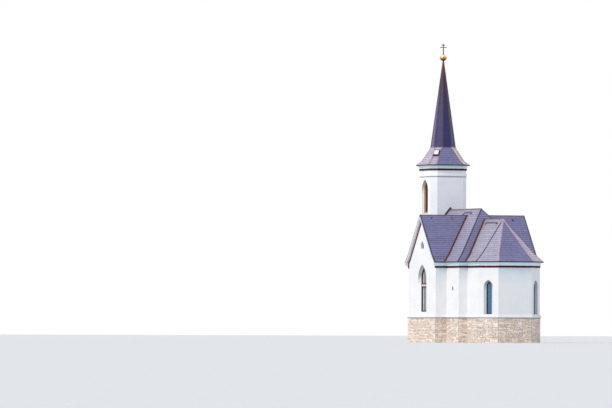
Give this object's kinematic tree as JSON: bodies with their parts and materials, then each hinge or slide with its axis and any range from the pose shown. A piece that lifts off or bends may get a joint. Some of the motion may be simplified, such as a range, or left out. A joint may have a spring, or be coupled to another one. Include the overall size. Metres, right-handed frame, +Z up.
{
  "type": "small chapel",
  "caption": "White plastered chapel: nave with gabled transepts and polygonal apse, stone plinth, slate roofs, and a tower with an octagonal spire, ball and cross.",
  "frame": {"origin": "on the ground, in the middle of the plan with its gutters and doorstep", "axes": "+X along the nave towards the apse, +Y towards the right-hand transept, +Z up"},
  "size_m": [15.56, 8.06, 21.505],
  "materials": {
    "plaster": "smooth white limewashed plaster",
    "rubble_stone": "rough beige rubble stone in lime mortar",
    "floor_stone": "honed grey stone slabs",
    "band_paint": "satin dark maroon paint on boards",
    "cornice_paint": "satin pale blue-green paint on boards",
    "gutter_metal": "satin dark grey folded sheet",
    "roof_slate": "matt blue-grey to purple roofing slates",
    "hatch_metal": "white painted sheet",
    "flashing_metal": "matt brown-red coated roof sheet",
    "cap_metal": "dark red painted sheet",
    "gilt_metal": "worn gilt sheet metal",
    "cross_iron": "dark painted wrought iron",
    "frame_wood": "satin maroon paint on timber",
    "window_glass": "clear float glass in small panes",
    "brown_wood": "brown stained timber"
  },
  "bodies": {
    "root": {"floor": "floor_stone", "doorstep": "floor_stone", "tower_plinth": "rubble_stone", "nave_plinth": "rubble_stone", "transept_plinths": "rubble_stone", "apse_plinth": "rubble_stone", "plinth_moulding": "plaster", "apse_end_wall": "plaster", "apse_left_window_wall": "plaster", "apse_right_window_wall": "plaster", "apse_side_walls": "plaster", "nave_shoulders": "plaster", "nave_side_walls": "plaster", "nave_back_gable": "plaster", "left_transept_gable": "plaster", "right_transept_gable": "plaster", "transept_cheeks": "plaster", "tower_front_wall": "plaster", "tower_side_walls": "plaster", "tower_back_wall": "plaster", "string_course": "plaster", "painted_bands": "band_paint", "cornices": "cornice_paint", "gutters": "gutter_metal", "raking_bands": "band_paint", "verge_soffits": "cornice_paint", "nave_roof": "roof_slate", "left_transept_roof": "roof_slate", "right_transept_roof": "roof_slate", "apse_roof": "roof_slate", "ridge_caps": "flashing_metal", "hip_flashings": "flashing_metal", "valley_gutters": "flashing_metal", "skirt_roof": "roof_slate", "spire": "roof_slate", "roof_hatch": "hatch_metal", "spire_cap": "cap_metal", "ball": "gilt_metal", "cross": "cross_iron", "transept_frames": "frame_wood", "transept_glass": "window_glass", "apse_frames": "frame_wood", "apse_glass": "window_glass", "belfry_louvres": "brown_wood", "door": "brown_wood"}
  },
  "joints": []
}
